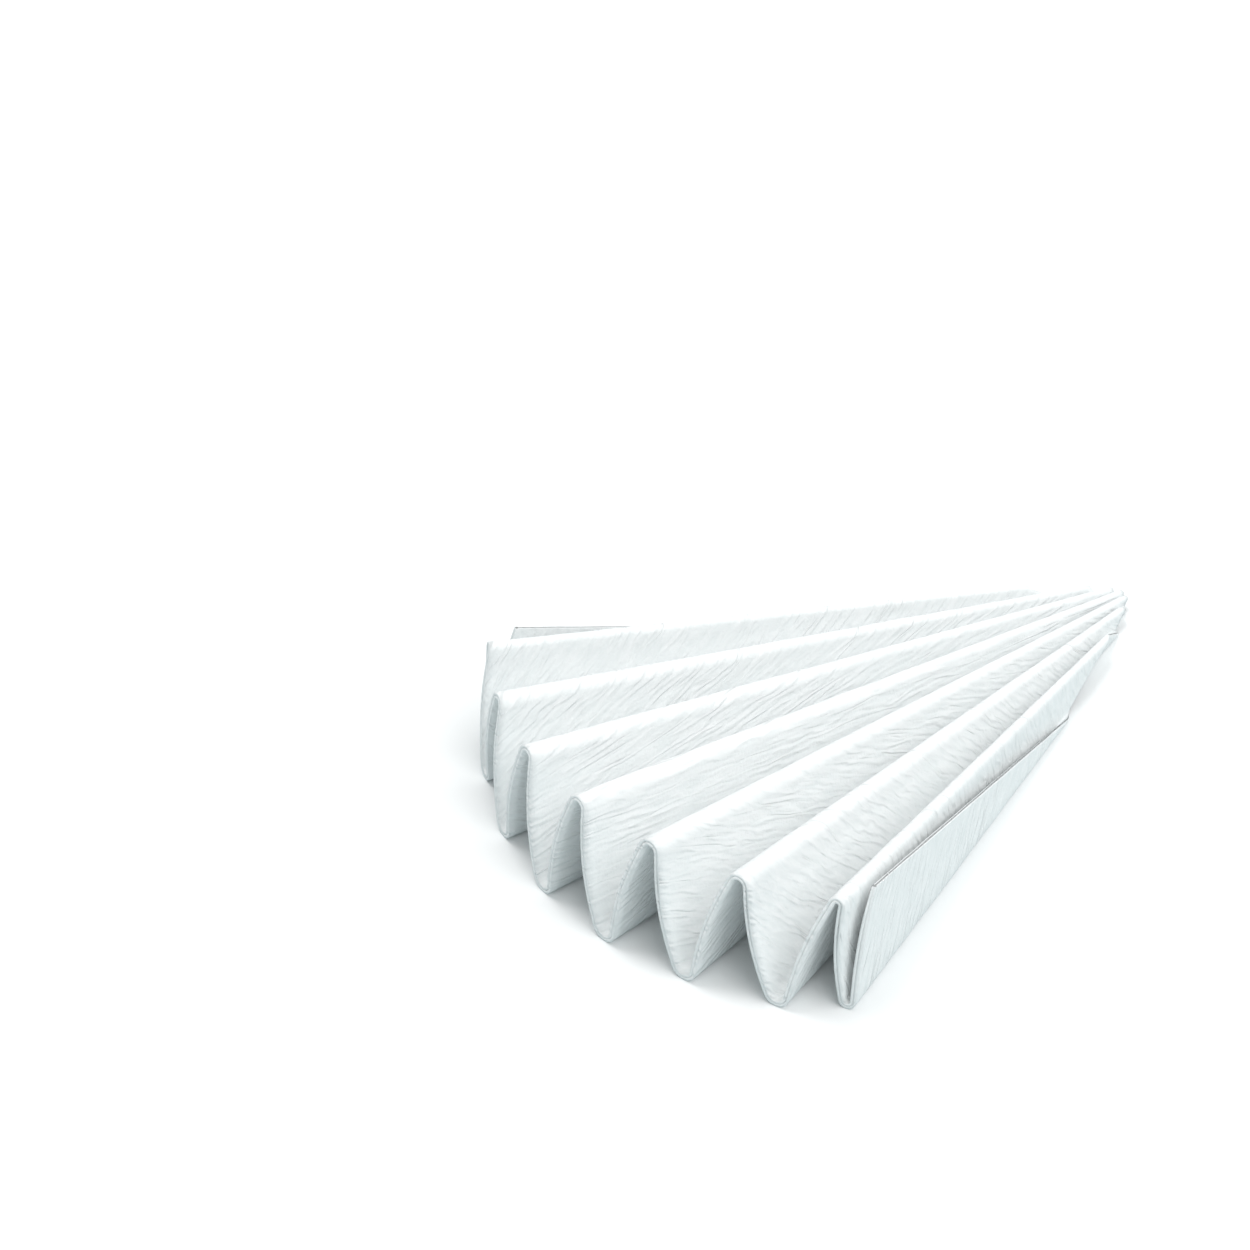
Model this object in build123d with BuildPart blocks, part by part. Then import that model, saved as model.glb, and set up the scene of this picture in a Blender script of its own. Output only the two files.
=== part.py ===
from build123d import *
from math import acos, asin, atan2, cos, hypot, pi, radians, sin, tan
import os

# Folded filter paper: a paper disc folded in half, then pleated into a fan.
#
# The disc is folded along a diameter, so the sheet is two leaves joined along that fold.
# Both leaves are then creased together, as an accordion of alternate crests and valleys.
# Every crease runs from the diameter fold to the rim, and all of them aim at one point, the
# apex, a short way beyond the diameter fold. The fan lies on its valleys, half open.
#
# Frame: +X runs from the tip to the open rim, +Y across the pleats, +Z up, millimetres.

# The paper.
paper_radius = 92.5  # a disc of 185 mm
leaf = 0.20  # one leaf of creped paper
leaf_gap_rim = 0.35  # the two leaves stand this far apart at the rim
leaf_gap_tip = 0.06  # and lie on each other near the tip
parting_reach = 42.0  # where they begin to part, from the apex
fold_wall = 0.5  # paper left closed along the diameter fold on the end flaps

# The creases.
panels = 16  # double panels between the two ends of the diameter fold
apex_offset = 11.0  # from the diameter fold to the point that all creases aim at
rim_crest_radius = 1.15  # middle line of the two leaves, at the rim
rim_valley_radius = 1.35
tip_fold_radius = 1.08 * (leaf + leaf_gap_tip / 2)  # at the tip the leaves bend on themselves
end_crest_radius = 0.65  # the last pleat at each side is nearly shut
end_valley_radius = 0.75

# How far the fan stands open.
fold_step = 2.95  # degrees in plan from a crest to the next valley
end_panel_step = 0.9  # degrees in plan over the last full panel at each side
flap_step = 0.35  # degrees in plan over the end flap beside it
panel_slack = 0.97  # share of a panel's width left across its bow
flap_slack = 0.86  # the same for the end flaps, which curl more

# Planes that the pleats are drawn on, either side of the paper.
tip_plane = 10.0
rim_plane = paper_radius + apex_offset + 3.5
clear = 150.0  # more than the fan's length, for the cutting shapes

half = panels // 2
folds = range(-half, half + 1)  # 0 is the middle crest, and the two ends are no crease
last_valley = half - 1


def rim_angle(fold):
    """Angle of a crease's rim end, seen from the disc's centre, from the diameter."""
    return pi / 2 - fold * pi / panels


def rim_reach(fold):
    """Distance in the flat paper from the apex to a crease's rim end."""
    angle = rim_angle(fold)
    return hypot(paper_radius * cos(angle), paper_radius * sin(angle) + apex_offset)


def tip_reach(fold):
    """Distance in the flat paper from the apex to a crease's end on the diameter fold."""
    height = paper_radius * sin(rim_angle(fold)) + apex_offset
    return rim_reach(fold) * apex_offset / height


def bearing(fold):
    """Direction of a crease in plan, in degrees from +X."""
    side = 1 if fold > 0 else -1
    steps = min(abs(fold), last_valley - 1) * fold_step
    steps += end_panel_step if abs(fold) >= last_valley else 0
    steps += flap_step if abs(fold) > last_valley else 0
    return side * steps


def is_crest(fold):
    """The middle fold is a crest, and crests and valleys alternate."""
    return fold % 2 == 0


def paper_angle(fold):
    """Angle at the apex, in the flat paper, from the middle crease to this one."""
    across = paper_radius * cos(rim_angle(fold))
    return atan2(across, paper_radius * sin(rim_angle(fold)) + apex_offset)


def slope(fold, step, slack):
    """Rise for each millimetre in plan of the crease that a panel climbs to.

    The panel between that crease and the one before it keeps its width, less its bow.
    """
    panel_angle = (paper_angle(fold) - paper_angle(fold - 1)) * slack
    return tan(acos(cos(panel_angle) / cos(radians(step))))


crest_slope = slope(1, fold_step, panel_slack)
flap_slope = slope(half, flap_step, flap_slack)


def crease_place(x, fold, turn):
    """Place across the fan and height of a crease's line where it meets the plane at x."""
    along = x / cos(radians(turn))
    rise = 0.0
    if is_crest(fold):
        rise = flap_slope if abs(fold) == half else crest_slope
    return along * sin(radians(turn)), along * rise


def fold_centres(x):
    """Centre and signed radius of each fold's arc on the plane at x, from left to right.

    Crests count as positive. All lines are straight from the tip plane to the rim plane,
    and on the tip plane the end pleats are spread as wide as the others, so that the band
    doesn't run into itself where the paper has already ended.
    """
    at_rim = (x - tip_plane) / (rim_plane - tip_plane)
    half_thickness = leaf + (leaf_gap_tip + (leaf_gap_rim - leaf_gap_tip) * at_rim) / 2
    centres = []
    for fold in folds:
        tip = crease_place(tip_plane, fold, fold * fold_step)
        rim = crease_place(rim_plane, fold, bearing(fold))
        across, top = [a + (b - a) * at_rim for a, b in zip(tip, rim)]
        wide = rim_crest_radius if is_crest(fold) else rim_valley_radius
        wide = end_valley_radius if abs(fold) == last_valley else wide
        wide = end_crest_radius if abs(fold) == last_valley - 1 else wide
        radius = tip_fold_radius + (wide - tip_fold_radius) * at_rim
        if abs(fold) == half:
            centres.append((across, top, 0.0))
        elif is_crest(fold):
            centres.append((across, top - radius - half_thickness, radius))
        else:
            centres.append((across, radius + half_thickness, -radius))
    return centres


def panel_normals(centres):
    """Upward normal of each panel, the line that touches two neighbouring fold arcs."""
    normals = []
    for (y0, z0, r0), (y1, z1, r1) in zip(centres, centres[1:]):
        lean = atan2(z1 - z0, y1 - y0) + asin((r1 - r0) / hypot(y1 - y0, z1 - z0))
        normals.append((-sin(lean), cos(lean)))
    return normals


def leaf_points(centres, offset):
    """Each panel's two ends on the surface that lies offset above the middle line."""
    normals = panel_normals(centres)
    ends = []
    for (start, stop), (ny, nz) in zip(zip(centres, centres[1:]), normals):
        ends.append(tuple((y + (r + offset) * ny, z + (r + offset) * nz)
                          for y, z, r in (start, stop)))
    return ends


def draw_leaf_surface(centres, offset):
    """Panels as lines and folds as arcs, along one surface of the band."""
    ends = leaf_points(centres, offset)
    for panel, (start, stop) in enumerate(ends):
        Line(start, stop)
        if panel + 1 < len(ends):
            y, z, radius = centres[panel + 1]
            ThreePointArc(stop, (y, z + radius + offset), ends[panel + 1][0])
    return ends[0][0], ends[-1][1]


def band_section(x, thickness):
    """Section of the pleated band on the plane at x."""
    centres = fold_centres(x)
    with BuildSketch(Plane.YZ.offset(x)) as section:
        with BuildLine():
            upper_left, upper_right = draw_leaf_surface(centres, thickness / 2)
            lower_left, lower_right = draw_leaf_surface(centres, -thickness / 2)
            Line(upper_left, lower_left)
            Line(upper_right, lower_right)
        make_face()
    return section.sketch


def crease_plane(fold, side):
    """Upright plane through the apex along a crease, with Z away from the fan's middle."""
    turn = radians(side * bearing(fold))
    return Plane(origin=(0, 0, 0), x_dir=(cos(turn), sin(turn), 0),
                 z_dir=(-side * sin(turn), side * cos(turn), 0))


def cut_outside(fold, side, outline):
    """Cut an outline, drawn as reach and height on a crease's plane, away from the middle."""
    with BuildSketch(crease_plane(fold, side)) as cut:
        with BuildLine():
            Polyline([(reach, -side * height) for reach, height in outline], close=True)
        make_face()
    extrude(cut.sketch, amount=clear, mode=Mode.SUBTRACT)


def tip_end(fold):
    """Reach and height of a crease's end on the diameter fold."""
    return tip_reach(fold), tip_reach(fold) * crest_slope if is_crest(fold) else 0.0


def cut_tip(side):
    """Cut the panels along the diameter fold, which runs straight from crease to crease."""
    for fold in range(last_valley):
        inner, outer = tip_end(fold), tip_end(fold + 1)
        low, high = sorted((inner, outer), key=lambda end: end[1])
        cut_outside(fold, side, [(-clear, -clear), (low[0], -clear), low, high,
                                 (high[0], clear), (-clear, clear)])


def cut_flap(side, wall):
    """Cut an end flap along the diameter fold, from the last valley up to the rim."""
    start, stop = tip_reach(last_valley), rim_reach(last_valley)
    rise = stop * flap_slope / (stop - start)
    cut_outside(last_valley, side, [(-clear, -wall), (start, -wall),
                                    (start + clear, rise * clear - wall), (-clear, rise * clear)])


def keep_inside_rim():
    """Cut the rim as the arc that the folded disc's edge follows in plan."""
    beyond = radians(bearing(half) + fold_step)
    side_x = rim_reach(last_valley) * cos(beyond)
    side_y = rim_reach(last_valley) * sin(beyond)
    with BuildSketch() as plan:
        with BuildLine():
            Polyline((side_x, side_y), (0, side_y), (0, -side_y), (side_x, -side_y))
            ThreePointArc((side_x, -side_y), (rim_reach(0), 0), (side_x, side_y))
        make_face()
    extrude(plan.sketch, amount=clear, mode=Mode.INTERSECT)


# The origin is the middle of the rectangle that the paper covers, on the surface below.
middle = (rim_reach(0) + apex_offset) / 2

with BuildPart() as leaf_space:
    add(band_section(parting_reach, leaf_gap_tip))
    add(band_section(rim_plane, leaf_gap_rim))
    loft(ruled=True)
    for side in (-1, 1):
        cut_flap(side, fold_wall)

with BuildPart() as sheet:
    add(band_section(tip_plane, 2 * leaf + leaf_gap_tip))
    add(band_section(rim_plane, 2 * leaf + leaf_gap_rim))
    loft(ruled=True)
    keep_inside_rim()
    for side in (-1, 1):
        cut_tip(side)
        cut_flap(side, 0)
    add(leaf_space.part, mode=Mode.SUBTRACT)

with BuildPart() as filter_paper:
    with Locations((-middle, 0, 0)):
        add(sheet.part)

filter_paper.part.label = "filter_paper"

os.makedirs("parts", exist_ok=True)
export_step(filter_paper.part, "parts/filter_paper.step")
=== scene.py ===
"""Folded filter paper: a creped paper disc, folded in half and pleated into a fan.

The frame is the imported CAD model. The sheet is rebuilt here as two leaves joined along the
diameter fold, with the crepe of the paper, and replaces the plain CAD solid.
"""

from __future__ import annotations

import logging
from dataclasses import dataclass, field
from enum import Enum
from math import acos, asin, atan2, cos, hypot, pi, radians, sin, sqrt, tan

import bpy
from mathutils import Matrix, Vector

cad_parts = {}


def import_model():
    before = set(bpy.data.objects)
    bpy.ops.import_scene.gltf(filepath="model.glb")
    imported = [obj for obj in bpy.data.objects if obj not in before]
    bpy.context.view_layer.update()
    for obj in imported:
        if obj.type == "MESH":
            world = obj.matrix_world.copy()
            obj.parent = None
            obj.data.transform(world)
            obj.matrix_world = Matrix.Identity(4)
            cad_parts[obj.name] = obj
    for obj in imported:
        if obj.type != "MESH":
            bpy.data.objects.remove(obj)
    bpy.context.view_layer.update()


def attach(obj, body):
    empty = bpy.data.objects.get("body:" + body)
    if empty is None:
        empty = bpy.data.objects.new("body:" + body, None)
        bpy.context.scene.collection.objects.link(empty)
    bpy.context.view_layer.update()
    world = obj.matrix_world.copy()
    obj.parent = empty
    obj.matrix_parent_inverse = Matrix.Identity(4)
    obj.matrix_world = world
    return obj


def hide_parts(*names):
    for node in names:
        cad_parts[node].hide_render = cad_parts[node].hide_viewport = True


LOG = logging.getLogger("filter_paper")
MM = 0.001


class Leaf(Enum):
    """The two leaves of the folded disc."""

    UPPER = 1
    LOWER = -1


def linear(hex_colour: str) -> tuple[float, float, float, float]:
    """Turn an sRGB hex colour to a linear one.

    Args:
        hex_colour: Six hex digits, with or without a leading #.

    Returns:
        Red, green, blue and an alpha of 1, in linear light.
    """
    digits = hex_colour.lstrip("#")
    values = [int(digits[i:i + 2], 16) / 255 for i in (0, 2, 4)]
    red, green, blue = (
        v / 12.92 if v <= 0.04045 else ((v + 0.055) / 1.055) ** 2.4 for v in values
    )
    return red, green, blue, 1.0


def add_node(
    tree: bpy.types.NodeTree,
    kind: str,
    settings: dict[str, object] | None = None,
    values: dict[str | int, object] | None = None,
    links: dict[str | int, bpy.types.NodeSocket] | None = None,
) -> bpy.types.Node:
    """Add a node to a tree with its settings, input values and links.

    Args:
        tree: The node tree.
        kind: The node's type name.
        settings: Attributes of the node itself.
        values: Constants for its input sockets, by name or index.
        links: Output sockets that feed its input sockets, by name or index.

    Returns:
        The new node.
    """
    node = tree.nodes.new(kind)
    for name, value in (settings or {}).items():
        setattr(node, name, value)
    for name, value in (values or {}).items():
        node.inputs[name].default_value = value
    for name, socket in (links or {}).items():
        tree.links.new(socket, node.inputs[name])
    return node


@dataclass(frozen=True)
class CrepedPaper:
    """Creped cellulose filter paper, pressed wet against a blade so that it puckers.

    To the eye it is a soft matt white with no gloss, a little light comes through it, and
    fine ragged wrinkles run one way across the whole disc, with fibre mottle between them.
    The colour is painted a little darker in the wrinkles' hollows, as painted shade, and
    also varies with the sheet's random cloudiness.
    """

    colour: str = "#FDFEFE"
    # painted shade in the fine wrinkles' hollows, together with the sheet's random mottle
    hollow_shade_and_mottle_colour: str = "#F3F6F6"
    wrinkle_pitch: float = 0.95  # mm from one fine wrinkle to the next
    wrinkle_length: float = 3.4  # mm along a fine wrinkle
    ridge_pitch: float = 1.15  # mm from one blade ridge to the next
    ridge_wander: float = 3.2  # mm that a ridge strays to either side
    pucker_pitch: float = 1.7  # mm from one bolder pucker to the next
    pucker_length: float = 7.0  # mm along a pucker
    fibre_size: float = 0.45  # mm, drawn coarser than real fibres so that it shows
    mottle_size: float = 7.0  # mm, cloudiness of the sheet
    roughness: float = 0.93
    bump_height: float = 0.24  # mm, somewhat deeper than real so that the crepe shows

    def make(self) -> bpy.types.Material:
        """Build the material.

        Returns:
            The creped paper material.
        """
        material = bpy.data.materials.new("creped_filter_paper")
        material.use_nodes = True
        tree = material.node_tree
        tree.nodes.clear()
        # Flat place in the disc, in millimetres, so the crepe follows the folded sheet.
        flat = add_node(tree, "ShaderNodeAttribute", {"attribute_name": "flat_place"})
        stretched = add_node(
            tree, "ShaderNodeMapping",
            values={"Scale": (1 / self.wrinkle_pitch, 1 / self.wrinkle_length, 0.7)},
            links={"Vector": flat.outputs["Vector"]},
        )
        wrinkle = add_node(
            tree, "ShaderNodeTexNoise", {"noise_dimensions": "3D"},
            {"Scale": 1.0, "Detail": 2.0, "Roughness": 0.5, "Distortion": 0.6},
            {"Vector": stretched.outputs["Vector"]},
        )
        fold_map = add_node(
            tree, "ShaderNodeMapping",
            values={"Scale": (1 / self.pucker_pitch, 1 / self.pucker_length, 0.7)},
            links={"Vector": flat.outputs["Vector"]},
        )
        pucker = add_node(
            tree, "ShaderNodeTexNoise", {"noise_dimensions": "3D"},
            {"Scale": 1.0, "Detail": 1.0, "Roughness": 0.5, "Distortion": 0.5},
            {"Vector": fold_map.outputs["Vector"]},
        )
        fibre = add_node(
            tree, "ShaderNodeTexNoise", {"noise_dimensions": "3D"},
            {"Scale": 1 / self.fibre_size, "Detail": 2.0, "Roughness": 0.6},
            {"Vector": flat.outputs["Vector"]},
        )
        mottle = add_node(
            tree, "ShaderNodeTexNoise", {"noise_dimensions": "3D"},
            {"Scale": 1 / self.mottle_size, "Detail": 3.0, "Roughness": 0.5},
            {"Vector": flat.outputs["Vector"]},
        )
        # The blade's ridges: even waves that wander, stronger in some patches.
        split = add_node(tree, "ShaderNodeSeparateXYZ", links={"Vector": flat.outputs["Vector"]})
        wander = add_node(
            tree, "ShaderNodeMath", {"operation": "MULTIPLY_ADD"}, {1: self.ridge_wander},
            {0: pucker.outputs["Fac"], 2: split.outputs["X"]},
        )
        phase = add_node(
            tree, "ShaderNodeMath", {"operation": "MULTIPLY"}, {1: 2 * pi / self.ridge_pitch},
            {0: wander.outputs["Value"]},
        )
        wave = add_node(
            tree, "ShaderNodeMath", {"operation": "SINE"}, {}, {0: phase.outputs["Value"]}
        )
        patch = add_node(
            tree, "ShaderNodeMapRange", {"clamp": True},
            {"From Min": 0.35, "From Max": 0.65, "To Min": 0.05, "To Max": 0.26},
            {"Value": mottle.outputs["Fac"]},
        )
        ridges = add_node(
            tree, "ShaderNodeMath", {"operation": "MULTIPLY"},
            links={0: wave.outputs["Value"], 1: patch.outputs["Result"]},
        )
        grain = add_node(
            tree, "ShaderNodeMath", {"operation": "MULTIPLY_ADD"}, {1: 0.25},
            {0: fibre.outputs["Fac"], 2: ridges.outputs["Value"]},
        )
        height = add_node(
            tree, "ShaderNodeMath", {"operation": "MULTIPLY_ADD"}, {1: 0.7},
            {0: wrinkle.outputs["Fac"], 2: grain.outputs["Value"]},
        )
        relief = add_node(
            tree, "ShaderNodeMath", {"operation": "MULTIPLY_ADD"}, {1: 0.5},
            {0: pucker.outputs["Fac"], 2: height.outputs["Value"]},
        )
        bump = add_node(
            tree, "ShaderNodeBump", {},
            {"Strength": 1.0, "Distance": self.bump_height * MM},
            {"Height": relief.outputs["Value"]},
        )
        # Painted shade: the colour darkens where the fine wrinkles are low, and also with the
        # sheet's random mottle.
        hollow_shade_and_mottle = add_node(
            tree, "ShaderNodeMath", {"operation": "MULTIPLY_ADD"}, {1: 0.5},
            {0: mottle.outputs["Fac"], 2: wrinkle.outputs["Fac"]},
        )
        shade = add_node(
            tree, "ShaderNodeMapRange", {"clamp": True},
            {"From Min": 0.45, "From Max": 0.95, "To Min": 0.0, "To Max": 1.0},
            {"Value": hollow_shade_and_mottle.outputs["Value"]},
        )
        tint = add_node(
            tree, "ShaderNodeMix", {"data_type": "RGBA"},
            {6: linear(self.hollow_shade_and_mottle_colour), 7: linear(self.colour)},
            {"Factor": shade.outputs["Result"]},
        )
        paper = add_node(
            tree, "ShaderNodeBsdfPrincipled", {},
            {"Roughness": self.roughness, "Specular IOR Level": 0.25, "IOR": 1.5,
             "Sheen Weight": 0.08, "Sheen Roughness": 0.6},
            {"Base Color": tint.outputs[2], "Normal": bump.outputs["Normal"]},
        )
        add_node(
            tree, "ShaderNodeOutputMaterial", links={"Surface": paper.outputs["BSDF"]}
        )
        return material


@dataclass(frozen=True)
class StudioWhite:
    """Seamless white studio board: matt, so it only shows the paper's soft shadow."""

    colour: str = "#FFFFFF"
    bounce_colour: str = "#CDD8DA"  # what the paper gets back from the board

    def make(self) -> bpy.types.Material:
        """Build the material.

        Returns:
            The studio floor material.
        """
        material = bpy.data.materials.new("studio_white_board")
        material.use_nodes = True
        tree = material.node_tree
        tree.nodes.clear()
        rays = add_node(tree, "ShaderNodeLightPath")
        seen = add_node(
            tree, "ShaderNodeMath", {"operation": "MAXIMUM"},
            links={0: rays.outputs["Is Camera Ray"], 1: rays.outputs["Is Glossy Ray"]},
        )
        tint = add_node(
            tree, "ShaderNodeMix", {"data_type": "RGBA"},
            {6: linear(self.bounce_colour), 7: linear(self.colour)},
            {"Factor": seen.outputs["Value"]},
        )
        board = add_node(
            tree, "ShaderNodeBsdfPrincipled", {},
            {"Roughness": 1.0, "Specular IOR Level": 0.0},
            {"Base Color": tint.outputs[2]},
        )
        add_node(tree, "ShaderNodeOutputMaterial", links={"Surface": board.outputs["BSDF"]})
        return material


@dataclass
class PleatRule:
    """The rule of the folds, in millimetres and as in the CAD, with the apex as origin."""

    paper_radius: float = 92.5
    leaf: float = 0.20
    leaf_gap_rim: float = 0.35
    leaf_gap_tip: float = 0.06
    panels: int = 16
    apex_offset: float = 11.0
    rim_crest_radius: float = 1.15
    rim_valley_radius: float = 1.35
    tip_fold_radius: float = 0.2484
    end_crest_radius: float = 0.65
    end_valley_radius: float = 0.75
    fold_step: float = 2.95
    end_panel_step: float = 0.9
    flap_step: float = 0.35
    panel_slack: float = 0.97
    flap_slack: float = 0.86
    tip_plane: float = 10.0
    rim_plane: float = 107.0
    bow: float = 0.55  # each panel sags this far to the left at the rim

    @property
    def half(self) -> int:
        """Folds from the middle crest to either end."""
        return self.panels // 2

    def rim_angle(self, fold: float) -> float:
        """Angle of a crease's rim end at the disc's centre, from the diameter."""
        return pi / 2 - fold * pi / self.panels

    def paper_angle(self, fold: float) -> float:
        """Angle at the apex, in the flat paper, from the middle crease to this one."""
        across = self.paper_radius * cos(self.rim_angle(fold))
        return atan2(across, self.paper_radius * sin(self.rim_angle(fold)) + self.apex_offset)

    def rim_reach(self, fold: float) -> float:
        """Distance in the flat paper from the apex to the rim."""
        angle = self.rim_angle(fold)
        return hypot(
            self.paper_radius * cos(angle), self.paper_radius * sin(angle) + self.apex_offset
        )

    def bearing(self, fold: int) -> float:
        """Find a crease's direction in plan.

        Args:
            fold: Fold number, 0 at the middle crest.

        Returns:
            Degrees from the fan's axis, towards +Y where positive.
        """
        side = 1 if fold > 0 else -1
        steps = min(abs(fold), self.half - 2) * self.fold_step
        steps += self.end_panel_step if abs(fold) >= self.half - 1 else 0
        steps += self.flap_step if abs(fold) >= self.half else 0
        return side * steps

    def slope(self, fold: int, step: float, slack: float) -> float:
        """Find how steeply a crest climbs, from the width of the panel beside it.

        Args:
            fold: Fold number of the crest.
            step: Degrees in plan from the valley to the crest.
            slack: Share of the panel's width left across its bow.

        Returns:
            Rise for each millimetre in plan.
        """
        panel = (self.paper_angle(fold) - self.paper_angle(fold - 1)) * slack
        return tan(acos(cos(panel) / cos(radians(step))))

    def place(self, x: float, fold: int, turn: float) -> tuple[float, float]:
        """Find where a crease's line meets the plane at x.

        Args:
            x: The plane.
            fold: Fold number.
            turn: The crease's direction in plan, in degrees.

        Returns:
            Place across the fan and height.
        """
        along = x / cos(radians(turn))
        rise = 0.0
        if fold % 2 == 0:
            rise = self.slope(1, self.fold_step, self.panel_slack)
            if abs(fold) == self.half:
                rise = self.slope(self.half, self.flap_step, self.flap_slack)
        return along * sin(radians(turn)), along * rise

    def __post_init__(self) -> None:
        """Work out both ends of every fold's line once."""
        self.line_ends = [
            (
                self.place(self.tip_plane, fold, fold * self.fold_step),
                self.place(self.rim_plane, fold, self.bearing(fold)),
            )
            for fold in range(-self.half, self.half + 1)
        ]

    def centres(self, x: float) -> list[tuple[float, float, float]]:
        """Find each fold's arc on the plane at x.

        Args:
            x: The plane.

        Returns:
            Centre across, centre height and radius of each arc, negative for a valley.
        """
        share = (x - self.tip_plane) / (self.rim_plane - self.tip_plane)
        gap = self.leaf_gap_tip + (self.leaf_gap_rim - self.leaf_gap_tip) * share
        found = []
        for fold in range(-self.half, self.half + 1):
            tip, rim = self.line_ends[fold + self.half]
            across, top = (a + (b - a) * share for a, b in zip(tip, rim))
            wide = self.rim_crest_radius if fold % 2 == 0 else self.rim_valley_radius
            wide = self.end_valley_radius if abs(fold) == self.half - 1 else wide
            wide = self.end_crest_radius if abs(fold) == self.half - 2 else wide
            radius = self.tip_fold_radius + (wide - self.tip_fold_radius) * share
            if abs(fold) == self.half:
                found.append((across, top, 0.0))
            elif fold % 2 == 0:
                found.append((across, top - radius - self.leaf - gap / 2, radius))
            else:
                found.append((across, radius + self.leaf + gap / 2, -radius))
        return found

    def section_point(
        self, x: float, column: tuple[int, float, float], offset: float
    ) -> tuple[float, float, float, float]:
        """Find a point of the band on the plane at x.

        Args:
            x: The plane.
            column: Panel number from 0, share along its straight part, and the share of a
                fold's turn when the column lies on the fold that ends the panel.
            offset: Distance above the band's middle line.

        Returns:
            Place across, height, and the upward normal's two parts.
        """
        panel, along, turn = column
        centres = self.centres(x)

        def normal_angle(i: int) -> float:
            """Find the direction of a panel's upward normal, in the section."""
            (y0, z0, r0), (y1, z1, r1) = centres[i], centres[i + 1]
            lean = atan2(z1 - z0, y1 - y0) + asin((r1 - r0) / hypot(y1 - y0, z1 - z0))
            return lean + pi / 2

        first = normal_angle(panel)
        if turn < 0:
            (y0, z0, r0), (y1, z1, r1) = centres[panel], centres[panel + 1]
            ny, nz = cos(first), sin(first)
            start = (y0 + (r0 + offset) * ny, z0 + (r0 + offset) * nz)
            stop = (y1 + (r1 + offset) * ny, z1 + (r1 + offset) * nz)
            sag = self.bow * sin(pi * along) * (x / self.rim_plane) ** 1.5
            sag *= 0.45 if panel in (0, self.panels - 1) else 1.0
            y = start[0] + (stop[0] - start[0]) * along - sag * abs(ny)
            z = start[1] + (stop[1] - start[1]) * along - sag * nz * (1 if ny > 0 else -1)
            return y, z, ny, nz
        angle = first + (normal_angle(panel + 1) - first) * turn
        y1, z1, r1 = centres[panel + 1]
        ny, nz = cos(angle), sin(angle)
        return y1 + (r1 + offset) * ny, z1 + (r1 + offset) * nz, ny, nz


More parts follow.
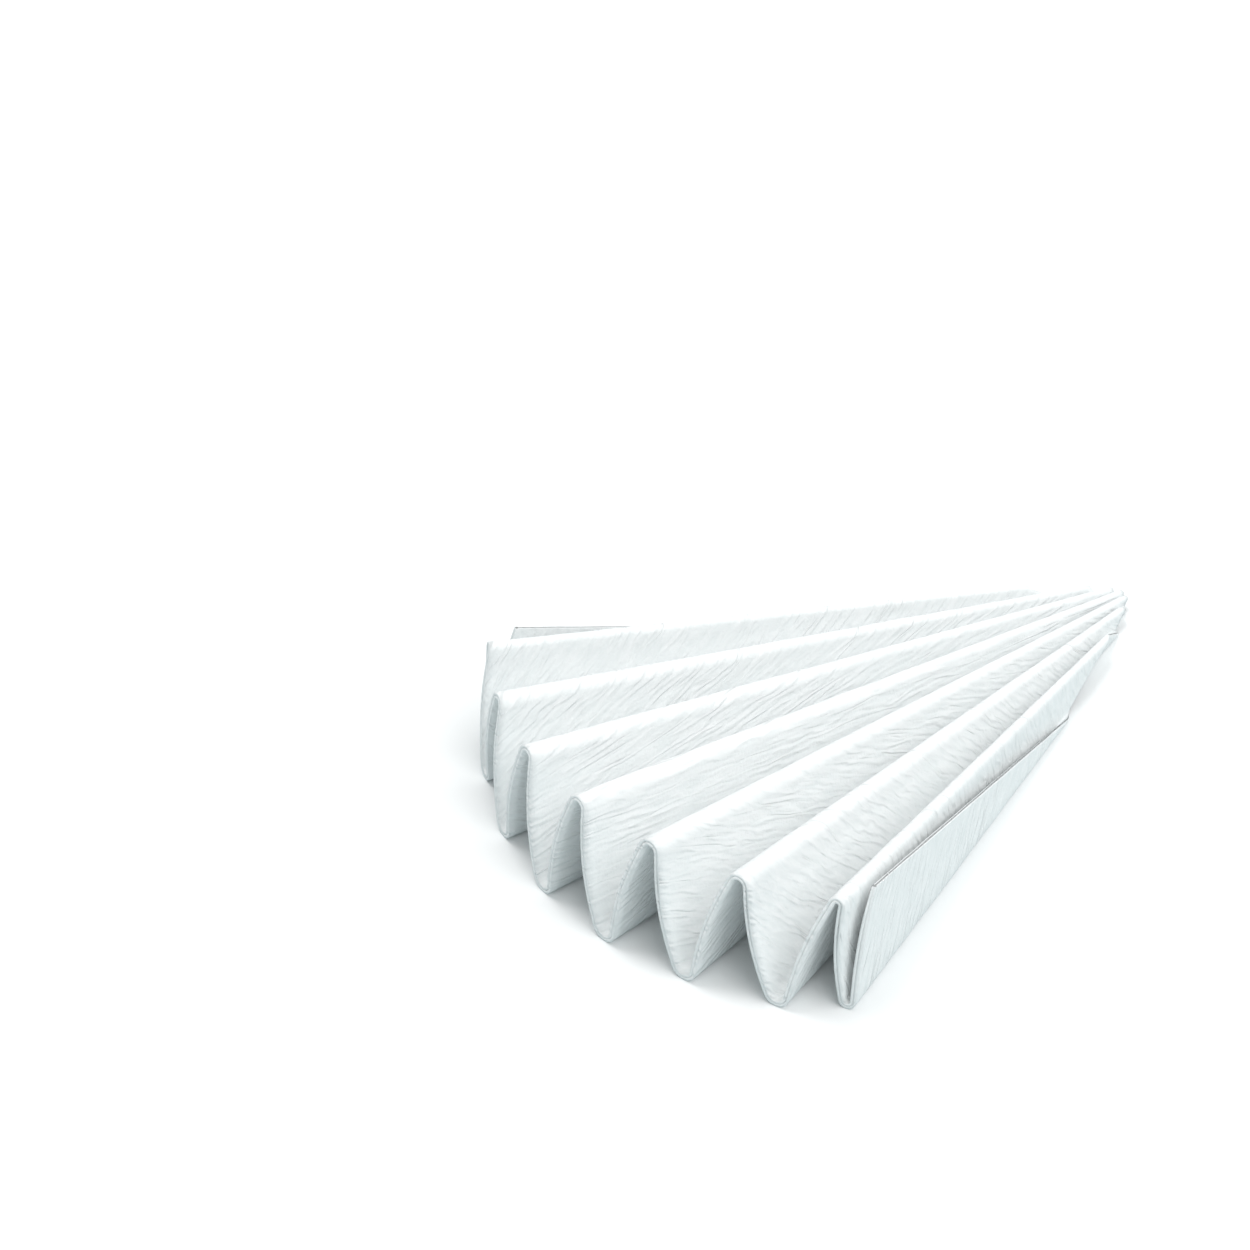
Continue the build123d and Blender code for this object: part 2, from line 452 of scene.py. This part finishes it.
@dataclass
class FilterPaper:
    """The folded sheet: two leaves, joined along the diameter fold and open at the rim."""

    rule: PleatRule = field(default_factory=PleatRule)
    finish: CrepedPaper = field(default_factory=CrepedPaper)
    panel_steps: int = 9
    flap_steps: int = 20  # closer towards the flap's slanted edge
    fold_steps: int = 6
    rows: int = 84
    nose: float = 0.12  # mm of paper left round the diameter fold
    crepe_height: float = 0.05  # mm, of the coarser puckers that move the paper itself
    crepe_pitch: float = 3.2  # mm from pucker to pucker
    crepe_length: float = 12.0  # mm along a pucker
    points: list[tuple[float, float, float]] = field(default_factory=list)
    lifts: list[tuple[float, float, float]] = field(default_factory=list)
    flats: list[tuple[float, float, float]] = field(default_factory=list)

    def columns(self) -> list[tuple[tuple[int, float, float], float]]:
        """List the mesh's columns across the fan.

        Returns:
            For each column its place in the section and its fold number, with a fraction.
        """
        found: list[tuple[tuple[int, float, float], float]] = []
        half = self.rule.half
        for panel in range(self.rule.panels):
            end = panel in (0, self.rule.panels - 1)
            steps = self.flap_steps if end else self.panel_steps
            for i in range(steps + 1):
                share = i / steps
                if panel == 0:
                    share = share ** 2
                    fold = -half + 0.93 * share
                elif end:
                    share = 1 - (1 - share) ** 2
                    fold = half - 0.93 * (1 - share)
                else:
                    fold = panel - half + 0.07 + 0.86 * share
                found.append(((panel, share, -1.0), fold))
            if panel + 1 < self.rule.panels:
                for i in range(1, self.fold_steps):
                    turn = i / self.fold_steps
                    found.append(((panel, 1.0, turn), panel - half + 0.93 + 0.14 * turn))
        return found

    def surface(self, leaf: Leaf, inner: bool, middle: float) -> list[list[int]]:
        """Add the points of one side of one leaf.

        Args:
            leaf: The upper or the lower leaf.
            inner: Whether this is the side that faces the other leaf.
            middle: Distance from the apex to the origin of the row frame, in mm.

        Returns:
            Point numbers, column by column and from the diameter fold to the rim.
        """
        rule = self.rule
        grid = []
        # The outermost columns have no length, as the flap ends in a point at the rim.
        for place, fold in self.columns()[1:-1]:
            angle = rule.paper_angle(fold)
            tip, rim = rule.apex_offset / cos(angle), rule.rim_reach(fold)
            nose = self.nose if inner else 0.0
            line = []
            for row in range(self.rows + 1):
                reach = tip + nose + (rim - tip - nose) * row / self.rows
                gap = self.gap_at(reach, tip)
                offset = gap / 2 + rule.leaf
                if inner:
                    offset = gap / 2 * self.parting(fold)
                elif row == 0:
                    offset = gap / 2 + rule.leaf * 0.45
                offset *= leaf.value
                x = reach * 0.97
                # The point keeps its distance from the apex, so x is found in three rounds.
                for _ in range(3):
                    y, z, ny, nz = rule.section_point(max(x, 5.0), place, offset)
                    x = sqrt(max(reach * reach - y * y - z * z, 1.0))
                self.points.append(((x - middle) * MM, y * MM, z * MM))
                self.lifts.append((0.0, ny, nz))
                self.flats.append((reach * sin(angle), reach * cos(angle), 40.0 * leaf.value))
                line.append(len(self.points) - 1)
            grid.append(line)
        return grid

    def build(self, middle: float) -> bpy.types.Object:
        """Build the sheet's mesh, with its flat place and lift direction as attributes.

        Args:
            middle: Distance from the apex to the origin of the row frame, in mm.

        Returns:
            The sheet, as an object at the origin.
        """
        self.points, self.lifts, self.flats = [], [], []
        layers = [
            self.surface(leaf, inner, middle) for leaf in Leaf for inner in (False, True)
        ]
        faces = self.faces(layers)
        mesh = bpy.data.meshes.new("filter_paper_sheet")
        mesh.from_pydata(self.points, [], faces)
        for name, data in (("lift", self.lifts), ("flat_place", self.flats)):
            attribute = mesh.attributes.new(name, "FLOAT_VECTOR", "POINT")
            attribute.data.foreach_set("vector", [v for vector in data for v in vector])
        mesh.polygons.foreach_set("use_smooth", [True] * len(mesh.polygons))
        mesh.update()
        sheet = bpy.data.objects.new("paper_sheet", mesh)
        bpy.context.scene.collection.objects.link(sheet)
        return sheet

    def parting(self, fold: float) -> float:
        """Share of the space that shows; the puffy edges close most of it.

        Args:
            fold: Fold number of the place, with a fraction.

        Returns:
            A share up to 1, widest just right of the crests on the right-hand side.
        """
        beside = fold % 2.0
        near_crest = max(0.0, 1.0 - abs(beside - 0.28) / 0.35)
        return 0.12 + (0.55 * near_crest if fold > 1.5 else 0.15 * near_crest)

    def gap_at(self, reach: float, tip: float) -> float:
        """Find the space between the leaves, which closes towards the diameter fold.

        Args:
            reach: Distance from the apex in the flat paper.
            tip: That distance at the diameter fold.

        Returns:
            The space, in mm.
        """
        rule = self.rule
        opened = min(1.0, max(0.0, (reach - tip) / 30.0))
        return 0.03 + (rule.leaf_gap_rim - 0.03) * opened * reach / rule.rim_plane

    def faces(self, layers: list[list[list[int]]]) -> list[tuple[int, ...]]:
        """Join the four surfaces into one closed skin.

        Args:
            layers: Point grids: upper outer, upper inner, lower inner pairs, in build order.

        Returns:
            The faces, all pointing outwards.
        """
        found: list[tuple[int, ...]] = []
        upper_out, upper_in, lower_out, lower_in = layers
        sides = ((upper_out, True), (upper_in, False), (lower_out, False), (lower_in, True))
        for grid, up in sides:
            for a, b in zip(grid, grid[1:]):
                for i in range(len(a) - 1):
                    quad = (a[i], a[i + 1], b[i + 1], b[i])
                    found.append(quad if up else quad[::-1])
        rims = ((upper_out, upper_in, True), (lower_out, lower_in, False))
        for outer, inner, up in rims:
            for i in range(len(outer) - 1):
                quad = (outer[i][-1], inner[i][-1], inner[i + 1][-1], outer[i + 1][-1])
                found.append(quad if up else quad[::-1])
        for a, b, up in ((upper_out, lower_out, True), (upper_in, lower_in, False)):
            for i in range(len(a) - 1):
                quad = (a[i][0], a[i + 1][0], b[i + 1][0], b[i][0])
                found.append(quad if up else quad[::-1])
            for column, first in ((0, True), (-1, False)):
                for i in range(len(a[0]) - 1):
                    quad = (a[column][i], b[column][i], b[column][i + 1], a[column][i + 1])
                    found.append(quad if up == first else quad[::-1])
        for column, first in ((0, True), (-1, False)):
            quad = (upper_out[column][-1], lower_out[column][-1],
                    lower_in[column][-1], upper_in[column][-1])
            found.append(quad if first else quad[::-1])
        return found

    def crepe_tree(self, material: bpy.types.Material) -> bpy.types.NodeTree:
        """Build the Geometry Nodes tree that puckers the paper.

        Args:
            material: The paper's material.

        Returns:
            A tree with named inputs for the puckers' height, pitch and length.
        """
        tree = bpy.data.node_groups.new("crepe_puckers", "GeometryNodeTree")
        tree.interface.new_socket("Geometry", in_out="INPUT", socket_type="NodeSocketGeometry")
        for name, default in (
            ("Height", self.crepe_height), ("Pitch", self.crepe_pitch),
            ("Length", self.crepe_length), ("Seed", 7.0),
        ):
            socket = tree.interface.new_socket(name, in_out="INPUT", socket_type="NodeSocketFloat")
            socket.default_value = default
        tree.interface.new_socket("Geometry", in_out="OUTPUT", socket_type="NodeSocketGeometry")
        given = add_node(tree, "NodeGroupInput")
        flat = add_node(
            tree, "GeometryNodeInputNamedAttribute", {"data_type": "FLOAT_VECTOR"},
            {"Name": "flat_place"},
        )
        lift = add_node(
            tree, "GeometryNodeInputNamedAttribute", {"data_type": "FLOAT_VECTOR"},
            {"Name": "lift"},
        )
        size = add_node(
            tree, "ShaderNodeCombineXYZ", values={"Z": 1.0},
            links={"X": given.outputs["Pitch"], "Y": given.outputs["Length"]},
        )
        scaled = add_node(
            tree, "ShaderNodeVectorMath", {"operation": "DIVIDE"},
            links={0: flat.outputs["Attribute"], 1: size.outputs["Vector"]},
        )
        noise = add_node(
            tree, "ShaderNodeTexNoise", {"noise_dimensions": "4D"},
            {"Scale": 1.0, "Detail": 2.0, "Roughness": 0.5, "Distortion": 0.3},
            {"Vector": scaled.outputs["Vector"], "W": given.outputs["Seed"]},
        )
        centred = add_node(
            tree, "ShaderNodeMath", {"operation": "SUBTRACT"}, {1: 0.5},
            {0: noise.outputs["Fac"]},
        )
        amount = add_node(
            tree, "ShaderNodeMath", {"operation": "MULTIPLY"},
            links={0: centred.outputs["Value"], 1: given.outputs["Height"]},
        )
        metres = add_node(
            tree, "ShaderNodeMath", {"operation": "MULTIPLY"}, {1: 4 * MM},
            {0: amount.outputs["Value"]},
        )
        shift = add_node(
            tree, "ShaderNodeVectorMath", {"operation": "SCALE"},
            links={0: lift.outputs["Attribute"], "Scale": metres.outputs["Value"]},
        )
        moved = add_node(
            tree, "GeometryNodeSetPosition",
            links={"Geometry": given.outputs["Geometry"], "Offset": shift.outputs["Vector"]},
        )
        real = add_node(
            tree, "GeometryNodeRealizeInstances", links={"Geometry": moved.outputs["Geometry"]}
        )
        dressed = add_node(
            tree, "GeometryNodeSetMaterial", {}, {"Material": material},
            {"Geometry": real.outputs["Geometry"]},
        )
        add_node(tree, "NodeGroupOutput", links={"Geometry": dressed.outputs["Geometry"]})
        return tree

    def make(self, middle: float) -> bpy.types.Object:
        """Build the sheet, pucker it and dress it.

        Args:
            middle: Distance from the apex to the origin of the row frame, in mm.

        Returns:
            The finished sheet with a plain mesh.
        """
        material = self.finish.make()
        sheet = self.build(middle)
        crepe = sheet.modifiers.new("crepe", "NODES")
        crepe.node_group = self.crepe_tree(material)
        sizes = {
            "Height": self.crepe_height, "Pitch": self.crepe_pitch,
            "Length": self.crepe_length, "Seed": 7.0,
        }
        for socket in crepe.node_group.interface.items_tree:
            if socket.name in sizes:
                crepe[socket.identifier] = sizes[socket.name]
        graph = bpy.context.evaluated_depsgraph_get()
        mesh = bpy.data.meshes.new_from_object(
            sheet.evaluated_get(graph), preserve_all_data_layers=True, depsgraph=graph
        )
        sheet.modifiers.remove(crepe)
        sheet.data = mesh
        if not mesh.materials:
            mesh.materials.append(material)
        return sheet


@dataclass
class Studio:
    """White floor, soft lamps and the camera."""

    eye: tuple[float, float, float] = (0.1872, 0.1742, 0.2053)
    view: tuple[float, float, float] = (-0.5235, -0.6120, -0.5928)
    lens: float = 77.94
    ground_gap: float = 0.02  # mm under the lowest valley

    def floor(self) -> bpy.types.Object:
        """Build the seamless floor.

        Returns:
            The floor, a wide plane just under the paper.
        """
        mesh = bpy.data.meshes.new("studio_floor")
        w, z = 6.0, -self.ground_gap * MM
        mesh.from_pydata([(-w, -w, z), (w, -w, z), (w, w, z), (-w, w, z)], [], [(0, 1, 2, 3)])
        mesh.materials.append(StudioWhite().make())
        floor = bpy.data.objects.new("studio_floor", mesh)
        bpy.context.scene.collection.objects.link(floor)
        return floor

    def lamp(
        self, name: str, toward: tuple[float, float, float], spread: float, strength: float,
        colour: str = "#FFFFFF",
    ) -> bpy.types.Object:
        """Add a soft distant lamp, as an even overhead light bank gives.

        Args:
            name: The lamp's name.
            toward: The direction it stands in, seen from the paper.
            spread: The angle that it fills, in degrees, which softens its shadows.
            strength: Its strength, in watts per square metre.
            colour: Its colour, as sRGB hex.

        Returns:
            The lamp.
        """
        data = bpy.data.lights.new(name, "SUN")
        data.angle, data.energy = radians(spread), strength
        data.color = linear(colour)[:3]
        lamp = bpy.data.objects.new(name, data)
        lamp.location = Vector(toward).normalized()
        lamp.rotation_euler = (-Vector(toward)).to_track_quat("-Z", "Y").to_euler()
        bpy.context.scene.collection.objects.link(lamp)
        return lamp

    def camera(self) -> bpy.types.Object:
        """Add the camera and make it the scene's own.

        Returns:
            The camera.
        """
        data = bpy.data.cameras.new("camera")
        data.lens, data.sensor_width, data.clip_start = self.lens, 36.0, 0.01
        camera = bpy.data.objects.new("camera", data)
        camera.location = self.eye
        camera.rotation_euler = Vector(self.view).to_track_quat("-Z", "Y").to_euler()
        bpy.context.scene.collection.objects.link(camera)
        bpy.context.scene.camera = camera
        return camera

    def world(self) -> None:
        """Give the world a pale cool light, and white where it is seen."""
        world = bpy.data.worlds.new("studio")
        world.use_nodes = True
        bpy.context.scene.world = world
        tree = world.node_tree
        tree.nodes.clear()
        rays = add_node(tree, "ShaderNodeLightPath")
        seen = add_node(
            tree, "ShaderNodeMath", {"operation": "MAXIMUM"},
            links={0: rays.outputs["Is Camera Ray"], 1: rays.outputs["Is Glossy Ray"]},
        )
        soft = add_node(
            tree, "ShaderNodeBackground", values={"Color": linear("#EAF0F1"), "Strength": 0.54}
        )
        white = add_node(
            tree, "ShaderNodeBackground", values={"Color": linear("#FFFFFF"), "Strength": 1.0}
        )
        mixed = add_node(
            tree, "ShaderNodeMixShader",
            links={0: seen.outputs["Value"], 1: soft.outputs[0], 2: white.outputs[0]},
        )
        add_node(tree, "ShaderNodeOutputWorld", links={"Surface": mixed.outputs[0]})

    def make(self) -> None:
        """Set up the whole studio."""
        bpy.context.scene.view_settings.view_transform = "Standard"
        self.floor()
        self.world()
        self.lamp("key_bank", (0.05, -0.34, 1.0), 26.0, 1.02)
        self.lamp("side_bank", (-0.10, 0.64, 1.00), 55.0, 1.45)
        self.camera()


def main() -> None:
    """Build the paper and the studio, and report each piece."""
    logging.basicConfig(level=logging.INFO, format="%(name)s: %(message)s")
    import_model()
    rule = PleatRule()
    middle = (rule.rim_reach(0) + rule.apex_offset) / 2
    sheet = FilterPaper(rule=rule).make(middle)
    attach(sheet, "root")
    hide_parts("filter_paper")
    LOG.info("paper_sheet: %d faces", len(sheet.data.polygons))
    Studio().make()
    LOG.info("studio: floor, two soft boxes, camera")


if __name__ == "__main__":
    main()
